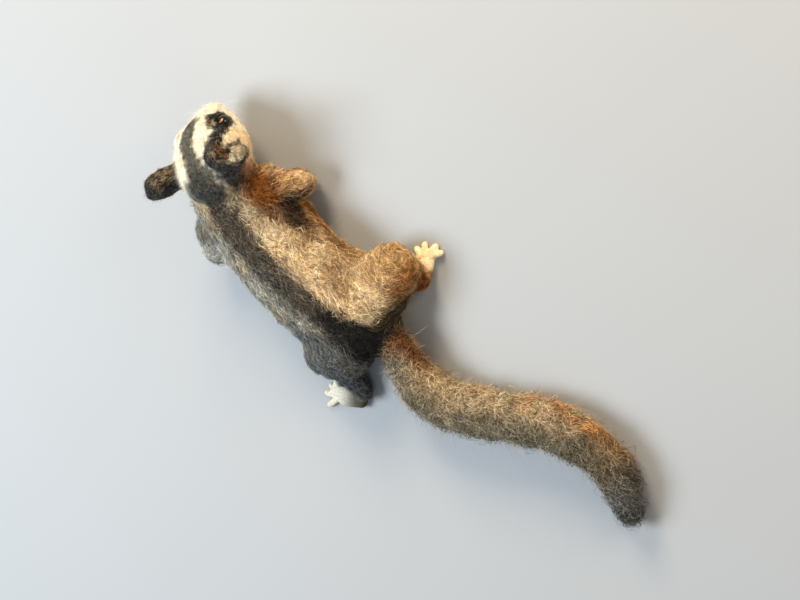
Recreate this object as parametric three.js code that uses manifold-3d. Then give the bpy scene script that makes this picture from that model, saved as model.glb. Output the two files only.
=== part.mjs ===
// A needle-felted wool figure of a sugar glider, life size, crouching with its head turned to its right
// and its tail trailing in an S behind it.
// Millimetres, +Z up. The figure faces -Y, its left is +X, and it rests on the plane Z = 0.
// The origin lies under the middle of its outline.

import * as THREE from 'three';
import { mergeVertices } from 'three/addons/utils/BufferGeometryUtils.js';
import Module from 'manifold-3d';

const wasm = await Module();
wasm.setup();

// Driving dimensions
const GAP = 0.3;
const TRUNK_HALF_WIDTH = 22.5;
const TRUNK_HEIGHT = 30.5;
const HEAD_HALF_WIDTH = 17.8;
const HEAD_HALF_HEIGHT = 14.5;
const SNOUT_REACH = 23.2;
const EAR_HALF_WIDTH = 8.6;
const EAR_WALL = 3.2;
const BEAD_RADIUS = 2.8;
const TAIL_RADIUS = 9.4;
const THIGH_RADIUS = 12.8;
const TOE_RADIUS = 1.2;
const FINGER_RADIUS = 1;

// How the head is carried: turned to its right, bowed, and tipped towards its left shoulder.
const HEAD_CENTRE = [-19.6, -91, 23.6];
const HEAD_TURN = 34;
const HEAD_BOW = 21;
const HEAD_TIP = 3;

const UP = new THREE.Vector3(0, 0, 1);
const LEFT = 1;
const RIGHT = -1;
const degrees = THREE.MathUtils.degToRad;
const mix = (a, b, share) => a.map((value, axis) => value + (b[axis] - value) * share);
const shifted = (point, by) => point.map((value, axis) => value + by[axis]);
const round = (radius) => [radius, radius, radius];

// Solids and their joins

/** A closed geometry as a solid that can be joined and cut. */
function solidOf(geometry) {
  geometry.deleteAttribute('normal');
  geometry.deleteAttribute('uv');
  const merged = mergeVertices(geometry, 1e-4);
  return new wasm.Manifold(new wasm.Mesh({
    numProp: 3,
    vertProperties: new Float32Array(merged.attributes.position.array),
    triVerts: new Uint32Array(merged.index.array),
  }));
}

/**
 * A closed body along a smooth spine. Each station gives its place `at` and its `size`:
 * half width, rise above the spine and depth below it. `grow` thickens it all round,
 * `from` and `to` take a stretch of the spine, counted in stations, and `caps` gives how far
 * each end bulges, as a share of its size. A cap of 0 is a flat end, set back by half the gap.
 */
function loft(stations, options = {}) {
  const last = stations.length - 1;
  const { sides = 14, steps = 8, capSteps = 3, caps = [1, 1], up = UP, grow = 0 } = options;
  const { from = 0, to = last } = options;
  const spine = new THREE.CatmullRomCurve3(stations.map(({ at }) => new THREE.Vector3(...at)));
  const girth = new THREE.CatmullRomCurve3(stations.map(({ size }) => new THREE.Vector3(...size)));
  const rings = [];
  const addRing = (station, bulge, setBack, scale) => {
    const along = spine.getTangent(station / last);
    const side = new THREE.Vector3().crossVectors(up, along).normalize();
    const rise = new THREE.Vector3().crossVectors(along, side);
    const size = girth.getPoint(station / last).addScalar(grow);
    const reach = (bulge * (size.x + size.y + size.z)) / 3 + setBack;
    const centre = spine.getPoint(station / last).addScaledVector(along, reach);
    const ring = Array.from({ length: sides }, (_, k) => {
      const angle = (2 * Math.PI * k) / sides;
      const height = Math.sin(angle) * (Math.sin(angle) > 0 ? size.y : size.z);
      return centre.clone()
        .addScaledVector(side, Math.cos(angle) * size.x * scale)
        .addScaledVector(rise, height * scale);
    });
    rings.push({ centre, ring });
  };
  const addCap = (station, share, sense) => {
    const steepness = Array.from({ length: capSteps }, (_, k) => (k + 1) / capSteps);
    for (const level of sense < 0 ? steepness.reverse() : steepness) {
      const angle = (Math.PI / 2) * level;
      addRing(station, sense * share * Math.sin(angle), 0, Math.cos(angle));
    }
  };
  if (caps[0] > 0) addCap(from, caps[0], -1);
  for (let k = 0; k <= steps; k += 1) {
    const flat = (k === 0 && caps[0] === 0 ? 1 : 0) - (k === steps && caps[1] === 0 ? 1 : 0);
    addRing(from + ((to - from) * k) / steps, 0, (flat * GAP) / 2, 1);
  }
  if (caps[1] > 0) addCap(to, caps[1], 1);
  return solidOf(skin(rings, sides, caps));
}

/** The triangles between the rings of a loft, closed by a fan at each end. */
function skin(rings, sides, caps) {
  const first = caps[0] > 0 ? 1 : 0;
  const last = rings.length - (caps[1] > 0 ? 2 : 1);
  const points = [rings[0].centre, rings[rings.length - 1].centre];
  for (let r = first; r <= last; r += 1) points.push(...rings[r].ring);
  const corner = (r, k) => 2 + (r - first) * sides + (k % sides);
  const faces = [];
  for (let k = 0; k < sides; k += 1) {
    faces.push(0, corner(first, k + 1), corner(first, k));
    faces.push(1, corner(last, k), corner(last, k + 1));
    for (let r = first; r < last; r += 1) {
      faces.push(corner(r, k), corner(r, k + 1), corner(r + 1, k + 1));
      faces.push(corner(r, k), corner(r + 1, k + 1), corner(r + 1, k));
    }
  }
  const geometry = new THREE.BufferGeometry().setFromPoints(points);
  geometry.setIndex(faces);
  return geometry;
}

/** A rounded bead: a sphere stretched along each axis. */
function bead(at, radii, grow) {
  const geometry = new THREE.SphereGeometry(1, 14, 8);
  geometry.scale(...radii.map((radius) => radius + grow));
  geometry.translate(...at);
  return solidOf(geometry);
}

/** The largest closed body of a solid, without the scraps that a cut can leave. */
function largest(solid) {
  return solid.decompose().reduce((best, piece) => (piece.volume() > best.volume() ? piece : best));
}

/** Cuts each piece clear of the ones before it. `make` builds a piece, and a thicker one to cut with. */
function fit(pieces, cutters = []) {
  const grown = [...cutters];
  return pieces.map(({ name, material, make }) => {
    const solid = grown.reduce((rest, cutter) => rest.subtract(cutter), make(0));
    grown.push(make(GAP));
    return { name, material, solid, grown: grown[grown.length - 1] };
  });
}

/** A named mesh of a solid. */
function meshOf({ name, material, solid }) {
  const { vertProperties, triVerts } = largest(solid).getMesh();
  const geometry = new THREE.BufferGeometry();
  geometry.setAttribute('position', new THREE.BufferAttribute(vertProperties, 3));
  geometry.setIndex(new THREE.BufferAttribute(triVerts, 1));
  geometry.computeVertexNormals();
  const mesh = new THREE.Mesh(geometry, material);
  mesh.name = name;
  return mesh;
}

// Materials

const felt = (color) => new THREE.MeshStandardMaterial({ color, roughness: 0.95, metalness: 0 });
const WOOL = {
  cream: felt('#ddd0b4'),
  back: felt('#86775f'),
  flank: felt('#9c8768'),
  fold: felt('#8a7350'),
  ear: felt('#4a4740'),
  ochre: felt('#9a6a3a'),
  tail: felt('#8d7a60'),
  paw: felt('#e3d3b8'),
  nose: felt('#d8a996'),
};
const BEAD_GLASS = new THREE.MeshStandardMaterial({ color: '#120b08', roughness: 0.08, metalness: 0 });

// Head, in a frame of its own: its centre at the origin, facing -Y

function headForm(grow) {
  const wide = HEAD_HALF_WIDTH;
  const tall = HEAD_HALF_HEIGHT;
  const stations = [
    { at: [0, 12, 0.5], size: [wide * 0.72, tall * 0.76, tall * 0.74] },
    { at: [0, 5, 0.5], size: [wide * 0.97, tall * 0.98, tall * 0.95] },
    { at: [0, -2, 0], size: [wide, tall, tall] },
    { at: [0, -9, -0.8], size: [wide * 0.91, tall * 0.9, tall * 0.92] },
    { at: [0, -15.5, -2], size: [wide * 0.7, tall * 0.66, tall * 0.72] },
    { at: [0, -SNOUT_REACH + 1, -3], size: [wide * 0.3, tall * 0.31, tall * 0.33] },
  ];
  return loft(stations, { sides: 24, steps: 12, grow, caps: [0.5, 0.6] });
}

/** A cupped ear: a thick felt petal that curls round a hollow open to the front. */
function earForm(side, grow) {
  const forward = new THREE.Vector3(0, -1, 0.1).normalize();
  const root = [side * 12.5, 3, 7];
  const middle = [side * 18.5, 5, 11];
  const tip = [side * 25, 9, 12.5];
  const wide = EAR_HALF_WIDTH;
  const petal = loft([
    { at: root, size: [wide * 0.72, 4.8, 4.6] },
    { at: middle, size: [wide, 6.2, 5.8] },
    { at: mix(middle, tip, 0.6), size: [wide * 0.88, 5.4, 5] },
    { at: tip, size: [wide * 0.42, 2.6, 2.6] },
  ], { up: forward, grow, sides: 16, steps: 7, caps: [0.4, 0.7] });
  if (grow > 0) return petal;
  const open = forward.clone().multiplyScalar(4.8).toArray();
  const hollow = loft([
    { at: shifted(mix(root, middle, 0.5), open), size: [wide - EAR_WALL - 1, 3, 2.6] },
    { at: shifted(middle, open), size: [wide - EAR_WALL, 4, 3.8] },
    { at: shifted(mix(middle, tip, 0.75), open), size: [wide - EAR_WALL - 1, 3.4, 3] },
  ], { up: forward, sides: 12, steps: 5, capSteps: 2, caps: [0.6, 0.8] });
  return petal.subtract(hollow);
}

const eyeForm = (side, grow) => bead([side * 12.7, -11.7, 4], round(BEAD_RADIUS), grow);

const noseForm = (grow) => bead([0, -SNOUT_REACH - 0.4, -2.6], [2.6, 2, 2], grow);

// Trunk, from the rump to inside the head

const MID_HEIGHT = TRUNK_HEIGHT / 2;
const TRUNK_PATH = [
  { at: [-5, 5, 12.5], size: [11, 9.5, 13] },
  { at: [-3, -5, MID_HEIGHT - 0.5], size: [19, 12.5, MID_HEIGHT] },
  { at: [-2, -20, MID_HEIGHT], size: [TRUNK_HALF_WIDTH, MID_HEIGHT - 0.5, MID_HEIGHT + 0.5] },
  { at: [-2, -42, MID_HEIGHT], size: [TRUNK_HALF_WIDTH, MID_HEIGHT, MID_HEIGHT + 0.5] },
  { at: [-4, -60, MID_HEIGHT], size: [TRUNK_HALF_WIDTH - 1.5, MID_HEIGHT, MID_HEIGHT + 0.3] },
  { at: [-7.5, -76, MID_HEIGHT + 1], size: [19, MID_HEIGHT - 1, MID_HEIGHT - 1] },
  { at: [-14, -88, 22], size: [15, 11.5, 12.5] },
];
const TRUNK_PARTS = [
  { name: 'torso', from: 0, to: 5.1, caps: [0.6, 0], steps: 14 },
  { name: 'neck', from: 5.1, to: 6, caps: [0, 0.4], steps: 4 },
];

// Tail: it drops from the rump to the ground and lies there in an S, sunk a little into a flat

const TAIL_SINK = 0.3;
const laid = (x, y, radius) => ({ at: [x, y, radius - TAIL_SINK], size: round(radius) });
const TAIL_PATH = [
  { at: [-5.5, 12, 12], size: [6.5, 6, 7] },
  { at: [1.8, 25, 9.7], size: [8.3, 8, 9.2] },
  laid(2.4, 40, TAIL_RADIUS - 0.3),
  laid(-6.6, 57, TAIL_RADIUS - 0.2),
  laid(-19, 74, TAIL_RADIUS),
  laid(-27.6, 91, TAIL_RADIUS - 0.4),
  laid(-29.3, 107, TAIL_RADIUS - 1.3),
  laid(-25, 118.5, TAIL_RADIUS - 2.1),
  laid(-17, 127, TAIL_RADIUS - 4),
];
const TAIL_PARTS = [
  { name: 'tail_base', from: 0, to: 2.4, caps: [0.8, 0], steps: 8 },
  { name: 'tail_middle', from: 2.4, to: 5, caps: [0, 0], steps: 7 },
  { name: 'tail_tip', from: 5, to: 8, caps: [0, 0.9], steps: 10 },
];

// Limbs

/**
 * A paw in its own frame, flat on the ground: its heel towards +Y, and its digits fanned round -Y,
 * each with a heading and a reach from the middle of the palm.
 */
function pawForm({ at, turn, palm, digits, radius, heel }, grow) {
  const pad = loft([
    { at: [0, heel, 2.4], size: [palm * 0.66, 2.4, 2.8] },
    { at: [0, heel * 0.45, 2], size: [palm * 0.85, 2.2, 2.4] },
    { at: [0, 0, 1.6], size: [palm, 1.7, 2] },
  ], { sides: 10, steps: 3, capSteps: 2, grow, caps: [0.5, 0.6] });
  const fingers = digits.map(([angle, reach]) => {
    const heading = degrees(angle);
    const along = (distance, height) => [Math.sin(heading) * distance, -Math.cos(heading) * distance, height];
    return loft([
      { at: along(palm * 0.4, 1.5), size: [radius, radius, radius + 0.6] },
      { at: along(reach * 0.7, 1.3), size: [radius, radius, radius + 0.4] },
      { at: along(reach - radius, 0.9), size: [radius * 0.85, radius * 0.85, radius] },
    ], { sides: 7, steps: 2, capSteps: 2, grow, caps: [0.5, 0.8] });
  });
  const placing = new THREE.Matrix4().makeRotationZ(degrees(turn)).setPosition(...at);
  return wasm.Manifold.union([pad, ...fingers]).transform(placing.toArray());
}

const HIND_FOOT = { palm: 4.2, radius: TOE_RADIUS, heel: 11 };
const HAND = { palm: 2.9, radius: FINGER_RADIUS, heel: 5, digits: [[-48, 6], [-16, 6.6], [16, 6.6], [48, 6]] };

// Where each side's joints lie, and how its paws are turned on the ground
const LIMBS = {
  left: {
    side: LEFT,
    hip: [8, -3, 16],
    knee: [21.5, -12, 12],
    heel: [28.5, 9, 4.5],
    foot: { ...HIND_FOOT, at: [40, -0.1, 0], turn: 32, digits: [[-56, 8], [-27, 8.6], [3, 9.6], [37, 10.4]] },
    shoulder: [10, -79, 16],
    elbow: [22.5, -77.5, 10.5],
    wrist: [12, -86, 4],
    hand: { ...HAND, at: [10, -89, 0], turn: -8 },
  },
  right: {
    side: RIGHT,
    hip: [-13, -4.5, 16],
    knee: [-32.8, -4.5, 12.3],
    heel: [-30, 5.5, 5],
    foot: { ...HIND_FOOT, at: [-38.2, 1, 0], turn: -64, digits: [[62, 6.8], [12, 7], [-34, 8.6], [-60, 9]] },
    shoulder: [-15, -70, 17.5],
    elbow: [-31.5, -57.5, 11],
    wrist: [-22, -69, 4.5],
    hand: { ...HAND, at: [-19, -73, 0], turn: -16 },
  },
};

function thighForm({ hip, knee }, grow) {
  const full = THIGH_RADIUS;
  return loft([
    { at: hip, size: [full, full - 1, full + 1] },
    { at: mix(hip, knee, 0.55), size: [full, full - 1, full] },
    { at: knee, size: [full - 2, full - 4, full - 2.5] },
  ], { sides: 20, steps: 7, grow, caps: [0.5, 0.85] });
}

function shankForm({ knee, heel }, grow) {
  return loft([
    { at: shifted(knee, [0, 2, -3]), size: [6.2, 6, 6.5] },
    { at: heel, size: [4.3, 4.2, 4.6] },
  ], { sides: 14, steps: 5, grow, caps: [0.6, 0.8] });
}

function upperArmForm({ shoulder, elbow }, grow) {
  return loft([
    { at: shoulder, size: [10, 9, 10] },
    { at: elbow, size: [6.8, 6.6, 6.8] },
  ], { sides: 18, steps: 6, grow, caps: [0.6, 0.85] });
}

function forearmForm({ elbow, wrist }, grow) {
  return loft([
    { at: shifted(elbow, [0, -1, -4]), size: [5.2, 4.8, 5.2] },
    { at: wrist, size: [3.8, 3.2, 3.8] },
  ], { sides: 14, steps: 5, grow, caps: [0.6, 0.7] });
}

/** The folded gliding membrane: a low roll of skin along the flank, from the elbow to the knee. */
function membraneForm({ side, elbow, knee }, grow) {
  const flank = TRUNK_PATH[3].at[0] + side * (TRUNK_HALF_WIDTH - 7.5);
  return loft([
    { at: shifted(elbow, [-side * 11, 3, -4]), size: [3.6, 4.5, 5] },
    { at: [flank - side * 0.5, -44, 6.5], size: [3.6, 4.5, 5] },
    { at: [flank, -30, 6.5], size: [3.6, 4.5, 5] },
    { at: shifted(knee, [-side * 8.5, -6, -4.5]), size: [3.6, 5, 6] },
  ], { sides: 12, steps: 8, grow, caps: [0.8, 0.8] });
}

// Assembly

const piece = (name, material, make) => ({ name, material, make });

const headGroup = new THREE.Group();
headGroup.position.set(...HEAD_CENTRE);
headGroup.rotation.set(degrees(HEAD_BOW), degrees(HEAD_TIP), degrees(-HEAD_TURN), 'ZXY');
headGroup.updateMatrix();
const headPieces = fit([
  piece('eye_left', BEAD_GLASS, (grow) => eyeForm(LEFT, grow)),
  piece('eye_right', BEAD_GLASS, (grow) => eyeForm(RIGHT, grow)),
  piece('nose', WOOL.nose, noseForm),
  piece('head', WOOL.cream, headForm),
  piece('ear_left', WOOL.ear, (grow) => earForm(LEFT, grow)),
  piece('ear_right', WOOL.ear, (grow) => earForm(RIGHT, grow)),
]);
headGroup.add(...headPieces.map(meshOf));
const placedHead = headPieces.map(({ grown }) => grown.transform(headGroup.matrix.toArray()));

const stretches = (parts, path, material, sides) => parts.map(({ name, ...stretch }) => (
  piece(name, material, (grow) => loft(path, { ...stretch, sides, grow }))
));
const limbPieces = ([key, limb]) => [
  piece(`thigh_${key}`, WOOL.flank, (grow) => thighForm(limb, grow)),
  piece(`shank_${key}`, WOOL.ochre, (grow) => shankForm(limb, grow)),
  piece(`foot_${key}`, WOOL.paw, (grow) => pawForm(limb.foot, grow)),
  piece(`upper_arm_${key}`, WOOL.flank, (grow) => upperArmForm(limb, grow)),
  piece(`forearm_${key}`, WOOL.flank, (grow) => forearmForm(limb, grow)),
  piece(`hand_${key}`, WOOL.paw, (grow) => pawForm(limb.hand, grow)),
  piece(`membrane_${key}`, WOOL.fold, (grow) => membraneForm(limb, grow)),
];
const bodyPieces = fit([
  ...stretches(TRUNK_PARTS, TRUNK_PATH, WOOL.back, 28),
  ...Object.entries(LIMBS).flatMap(limbPieces),
  ...stretches(TAIL_PARTS, TAIL_PATH, WOOL.tail, 20),
], placedHead);

const figure = new THREE.Group();
figure.add(headGroup);
figure.add(...bodyPieces.map(({ name, material, solid }) => (
  meshOf({ name, material, solid: solid.trimByPlane([0, 0, 1], 0) })
)));
const outline = new THREE.Box3().setFromObject(figure, true);
figure.position.set(-(outline.min.x + outline.max.x) / 2, -(outline.min.y + outline.max.y) / 2, 0);

export default figure;
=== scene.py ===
"""A needle-felted wool figure of a sugar glider, life size, crouching with its head turned to its right.

One felted skin is grown from the CAD solids and painted with the markings. The wool fibres lie over it
as fine tapered strands in the same colours. Places are in millimetres in the figure's own frame, which
faces -Y with its left at +X, and meshes are made in metres.
"""

import math
from collections import namedtuple

import bmesh
import bpy
import numpy as np
from mathutils import Matrix, Vector
from mathutils.bvhtree import BVHTree


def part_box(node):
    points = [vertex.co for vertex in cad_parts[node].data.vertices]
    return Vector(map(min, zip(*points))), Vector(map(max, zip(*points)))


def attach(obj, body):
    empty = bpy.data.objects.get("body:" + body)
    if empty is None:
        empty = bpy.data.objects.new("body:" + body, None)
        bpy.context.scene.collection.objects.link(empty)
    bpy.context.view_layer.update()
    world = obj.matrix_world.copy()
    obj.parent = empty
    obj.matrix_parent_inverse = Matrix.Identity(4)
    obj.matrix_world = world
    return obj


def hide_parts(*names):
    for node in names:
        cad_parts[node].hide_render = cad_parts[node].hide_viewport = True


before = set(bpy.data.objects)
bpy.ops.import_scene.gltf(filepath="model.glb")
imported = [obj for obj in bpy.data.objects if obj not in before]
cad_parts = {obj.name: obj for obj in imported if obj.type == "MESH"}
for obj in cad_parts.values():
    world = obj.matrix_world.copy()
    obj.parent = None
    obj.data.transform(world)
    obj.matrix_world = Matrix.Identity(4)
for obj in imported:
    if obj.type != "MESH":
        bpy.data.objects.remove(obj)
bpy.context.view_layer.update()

MM = 0.001
# How far the figure was moved to put the origin under the middle of its outline
CENTRING = np.array([-1.53, -10.34, 0.0])
# What the colours painted on the meshes are called
PAINT = "wool"

# Frames, new objects and meshes' fields


def in_metres(points):
    """Points of the figure's own frame, in the scene's."""
    return (points + CENTRING) * MM


def in_millimetres(points):
    """Points of the scene's frame, in the figure's own."""
    return points / MM - CENTRING


def vector_in_metres(place):
    """One place of the figure's own frame, as a vector of the scene's."""
    return (Vector(place) + Vector(CENTRING)) * MM


def add_object(name, data):
    added = bpy.data.objects.new(name, data)
    bpy.context.scene.collection.objects.link(added)
    return added


def read(items, field, width, kind=float):
    """One field of a mesh's items as an array."""
    values = np.empty(len(items) * width, np.int32 if kind is int else np.float32)
    items.foreach_get(field, values)
    return values.reshape(-1, width).astype(kind)


def fill(items, field, values, kind=float):
    """Sets one field of a mesh's items from an array."""
    items.foreach_set(field, values.astype(np.int32 if kind is int else np.float32).ravel())


def lengths(vectors):
    return np.linalg.norm(vectors, axis=-1)


def modified(holder):
    """A new mesh: the object's, with its modifiers applied."""
    return bpy.data.meshes.new_from_object(holder.evaluated_get(bpy.context.evaluated_depsgraph_get()))


def nearest(tree, points):
    """Where the points come nearest to a surface: the places, the normals and the faces' numbers."""
    places, normals, faces, _ = zip(*(tree.find_nearest(point) for point in points.tolist()))
    return np.array(places), np.array(normals), np.array(faces)


# Camera

CAMERA_AIM = (-14.0, -0.1, 0.0)
CAMERA_AZIMUTH = 240.4
CAMERA_ELEVATION = 51.1
CAMERA_DISTANCE = 889.0
CAMERA_LENS = 100.0
CAMERA_SENSOR = 36.0
NEAREST_SEEN = 10.0
# Which way the figure faces in the picture: to the right, up
HEADING_IN_VIEW = (-0.739, 0.674)


def add_camera():
    azimuth = math.radians(CAMERA_AZIMUTH)
    elevation = math.radians(CAMERA_ELEVATION)
    back = Vector((
        math.sin(azimuth) * math.cos(elevation),
        -math.cos(azimuth) * math.cos(elevation),
        math.sin(elevation),
    ))
    facing = Vector((0, -1, 0))
    ahead = (facing - back * facing.dot(back)).normalized()
    aside = ahead.cross(back)
    right = ahead * HEADING_IN_VIEW[0] + aside * HEADING_IN_VIEW[1]
    up = ahead * HEADING_IN_VIEW[1] - aside * HEADING_IN_VIEW[0]
    turn = Matrix((right.normalized(), up.normalized(), back)).transposed()
    stand = vector_in_metres(Vector(CAMERA_AIM) + back * CAMERA_DISTANCE)
    camera = add_object("camera", bpy.data.cameras.new("camera"))
    camera.data.lens = CAMERA_LENS
    camera.data.sensor_width = CAMERA_SENSOR
    camera.data.clip_start = NEAREST_SEEN * MM
    camera.matrix_world = Matrix.Translation(stand) @ turn.to_4x4()
    bpy.context.scene.camera = camera


add_camera()

# The head's own frame: x to its left, y towards the back of the head, z up.
# Its axes come from where the CAD puts the eyes and the nose.

EYE_IN_HEAD = np.array([12.7, -11.7, 4.0])
NOSE_IN_HEAD = np.array([0.0, -23.6, -2.6])


def middle_of(node):
    low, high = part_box(node)
    return in_millimetres((np.array(low) + np.array(high)) / 2)


def unit(vectors):
    vectors = np.asarray(vectors, float)
    return vectors / np.maximum(np.linalg.norm(vectors, axis=-1, keepdims=True), 1e-9)


def head_frame():
    """(axes as rows, origin) of the head's frame in the figure's."""
    left_eye = middle_of("eye_left")
    right_eye = middle_of("eye_right")
    across = unit(left_eye - right_eye)
    between = (left_eye + right_eye) / 2
    ahead = middle_of("nose") - between
    ahead = unit(ahead - ahead.dot(across) * across)
    drop = unit(NOSE_IN_HEAD - EYE_IN_HEAD * (0, 1, 1))
    aside = np.cross(across, ahead)
    back = drop[1] * ahead - drop[2] * aside
    up = drop[2] * ahead + drop[1] * aside
    origin = between - EYE_IN_HEAD[1] * back - EYE_IN_HEAD[2] * up
    return np.array([across, back, up]), origin


HEAD_AXES, HEAD_ORIGIN = head_frame()


def in_head(points):
    """Points of the figure's frame, in the head's."""
    return (np.asarray(points, float) - HEAD_ORIGIN) @ HEAD_AXES.T


def from_head(points):
    """Points of the head's frame, in the figure's."""
    return np.asarray(points, float) @ HEAD_AXES + HEAD_ORIGIN


def turned(direction):
    """A direction of the head's frame, in the figure's."""
    return np.asarray(direction, float) @ HEAD_AXES


def outwards(places):
    """Places of the head's frame with x counted outwards from its middle, on either side."""
    return np.abs(places * (1, 0, 0)) + places * (0, 1, 1)


def along_surface(vectors, normals):
    """The vectors' directions along a surface that has these normals."""
    return unit(vectors - (vectors * normals).sum(axis=1, keepdims=True) * normals)


# Fields: noise, strokes and smooth steps over points


def waves(points, size, seed, count=26):
    """Smooth noise of about unit depth, with lumps about `size` across."""
    rng = np.random.default_rng(seed)
    pulls = unit(rng.normal(size=(count, 3))) * rng.uniform(0.6, 1.5, (count, 1)) * math.pi / size
    phases = rng.uniform(0, 2 * math.pi, count)
    return np.cos(points @ pulls.T + phases).sum(axis=1) / math.sqrt(count / 2)


Noise = namedtuple("Noise", "depth size seed")


def noise(points, kind, share=1.0):
    """Noise of one kind, over the share of the surface that has it."""
    return kind.depth * share * waves(points, kind.size, kind.seed)


def step(values, low, high):
    """0 below `low`, 1 above `high` and smooth between; `low` may be the larger."""
    share = np.clip((values - low) / (high - low), 0, 1)
    return share * share * (3 - 2 * share)


def stroke(points, places, soft=1.0):
    """1 inside a stroke through (x, y, z, radius) places, fading to 0 over `soft` round its edge."""
    places = np.asarray(places, float)
    outside = np.full(len(points), np.inf)
    ends = zip(places[:-1], places[1:]) if len(places) > 1 else [(places[0], places[0])]
    for start, end in ends:
        run = end[:3] - start[:3]
        share = np.clip((points - start[:3]) @ run / max(run @ run, 1e-9), 0, 1)[:, None]
        reach = (start[3] + (end[3] - start[3]) * share)[:, 0]
        outside = np.minimum(outside, lengths(points - start[:3] - run * share) - reach)
    return step(outside, soft / 2, -soft / 2)


def spread(values, edges, rounds, share=1.0):
    """Values averaged with their neighbours' along the edges, over and over."""
    count = len(values)
    ties = np.maximum(np.bincount(edges.ravel(), minlength=count), 1)[:, None]
    values = np.asarray(values, float).reshape(count, -1)
    share = np.broadcast_to(np.reshape(share, (-1, 1)), (count, 1))
    for _ in range(rounds):
        total = np.empty_like(values)
        for column in range(values.shape[1]):
            weights = values[:, column]
            total[:, column] = np.bincount(edges[:, 0], weights[edges[:, 1]], count)
            total[:, column] += np.bincount(edges[:, 1], weights[edges[:, 0]], count)
        values = values + (total / ties - values) * share
    return values


# Wool colours, as seen in daylight


def wool(red, green, blue):
    """An 8-bit display colour as linear light."""
    shown = np.array([red, green, blue]) / 255
    return np.where(shown <= 0.04045, shown / 12.92, ((shown + 0.055) / 1.055) ** 2.4)


CREAM = wool(246, 238, 218)
PEACH = wool(250, 212, 164)
CHARCOAL = wool(36, 37, 37)
GRAPHITE = wool(56, 57, 53)
SOOT = wool(16, 16, 15)
DRAB = wool(112, 107, 90)
SLATE = wool(84, 88, 88)
ASH = wool(145, 144, 133)
BEIGE = wool(196, 176, 140)
SAND = wool(232, 202, 158)
STRAW = wool(254, 232, 192)
WARM_WHITE = wool(255, 232, 188)
TAN = wool(172, 138, 90)
CARAMEL = wool(150, 102, 50)
BROWN = wool(112, 80, 46)
UMBER = wool(58, 46, 28)
OCHRE = wool(174, 106, 30)
APRICOT = wool(255, 226, 178)
RUST = wool(152, 87, 9)
CHEEK_EDGE = wool(238, 178, 118)
PINK = wool(236, 200, 184)

# How the coat differs from one kind of flesh to another: how deep it is over the skin, how much the
# skin is smoothed where solids meet, and how much single fibres stray in colour
Flesh = namedtuple("Flesh", "nodes depth smooth lively colour")
LIMBS = ("thigh", "upper_arm", "forearm")


def one_side(side, *names):
    return tuple(f"{name}_{side}" for name in names)


def both(*names):
    return tuple(f"{name}_{side}" for name in names for side in ("left", "right"))


FLESH = {
    "face": Flesh(("head",), 0.22, 0.6, 0.2, CREAM),
    "nose": Flesh(("nose",), 0.12, 0.4, 0.08, PINK),
    "ear": Flesh(both("ear"), 0.22, 0.25, 0.6, CHARCOAL),
    "trunk": Flesh(("neck", "torso"), 0.45, 1.0, 0.75, BEIGE),
    "limb": Flesh(both(*LIMBS), 0.4, 1.0, 0.65, TAN),
    "shank": Flesh(both("shank"), 0.3, 0.7, 0.4, OCHRE),
    "fold": Flesh(both("membrane"), 0.4, 1.0, 0.6, TAN),
    # The paws have no coat to speak of, so their skin lies level with the solids
    "paw": Flesh(both("foot", "hand"), -0.3, 0.08, 0.05, CREAM),
    "tail": Flesh(("tail_base", "tail_middle", "tail_tip"), 0.8, 1.0, 0.8, BEIGE),
}
KIND_OF = {node: kind for kind, flesh in FLESH.items() for node in flesh.nodes}
KINDS = list(FLESH)
FLESH_NODES = list(KIND_OF)

# The lie of the coat

# Where the tail runs, from the rump to its tip
TAIL_PATH = np.array([
    (-5.5, 12, 12), (1.8, 25, 9.7), (2.4, 40, 9), (-6.6, 57, 9), (-19, 74, 9),
    (-27.6, 91, 9), (-29.3, 107, 8), (-25, 118.5, 7), (-17, 127, 5),
], float)


def along_path(points, path):
    """For each point: how far along the path it lies, in places, and the path's direction there."""
    best = np.full(len(points), np.inf)
    share = np.zeros(len(points))
    direction = np.zeros((len(points), 3))
    for index, (start, end) in enumerate(zip(path[:-1], path[1:])):
        run = end - start
        part = np.clip((points - start) @ run / (run @ run), 0, 1)
        gap = lengths(points - start - part[:, None] * run)
        nearer = gap < best
        best[nearer] = gap[nearer]
        share[nearer] = index + part[nearer]
        direction[nearer] = unit(run)
    return share, direction


LIES = {
    "head": turned((0, 1, 0)),
    "nose": turned((0, 1, 0)),
    "ear_left": turned((0.84, 0.4, 0.37)),
    "ear_right": turned((-0.84, 0.4, 0.37)),
    "neck": (0.4, 1, 0),
    "torso": (0, 1, -0.1),
    "upper_arm_left": (0.9, 0.3, -0.4),
    "upper_arm_right": (-0.8, 0.6, -0.4),
    "forearm_left": (-0.6, -0.5, -0.5),
    "forearm_right": (0.5, -0.6, -0.5),
    "shank_left": (0.3, 1, -0.5),
    "shank_right": (0.2, 1, -0.5),
    "foot_left": (0.6, -0.8, 0),
    "foot_right": (-0.8, -0.6, 0),
    "hand_left": (0, -1, 0),
    "hand_right": (0, -1, 0),
    "membrane_left": (0.2, 1, 0),
    "membrane_right": (-0.2, 1, 0),
}

# The soft ridge from the neck to the right arm, where the fibres are short, and which way they run
SHOULDER_RIDGE = [(-25, -75, 13, 4), (-29, -71, 13, 4.5), (-33.2, -65.4, 12, 3.5), (-36.5, -61, 9.5, 3)]
SHOULDER_LIE = (-0.6, 0.78, 0.1)
# How sharply that ridge ends
RIDGE_EDGE = 1
# How the right ear is seen: two measures across the way it faces, and the way itself, in the head's frame
EAR_SIGHT = np.array([(-0.649, 0.093, -0.755), (-0.291, -0.946, 0.127), (-0.703, 0.303, 0.642)])
# The middles of the ear's two lobes, which its fibres run round, and how near to one they don't
EAR_WHORLS = ((9.2, 3.0), (2.6, 3.6))
WHORL_EYE = 1


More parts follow.
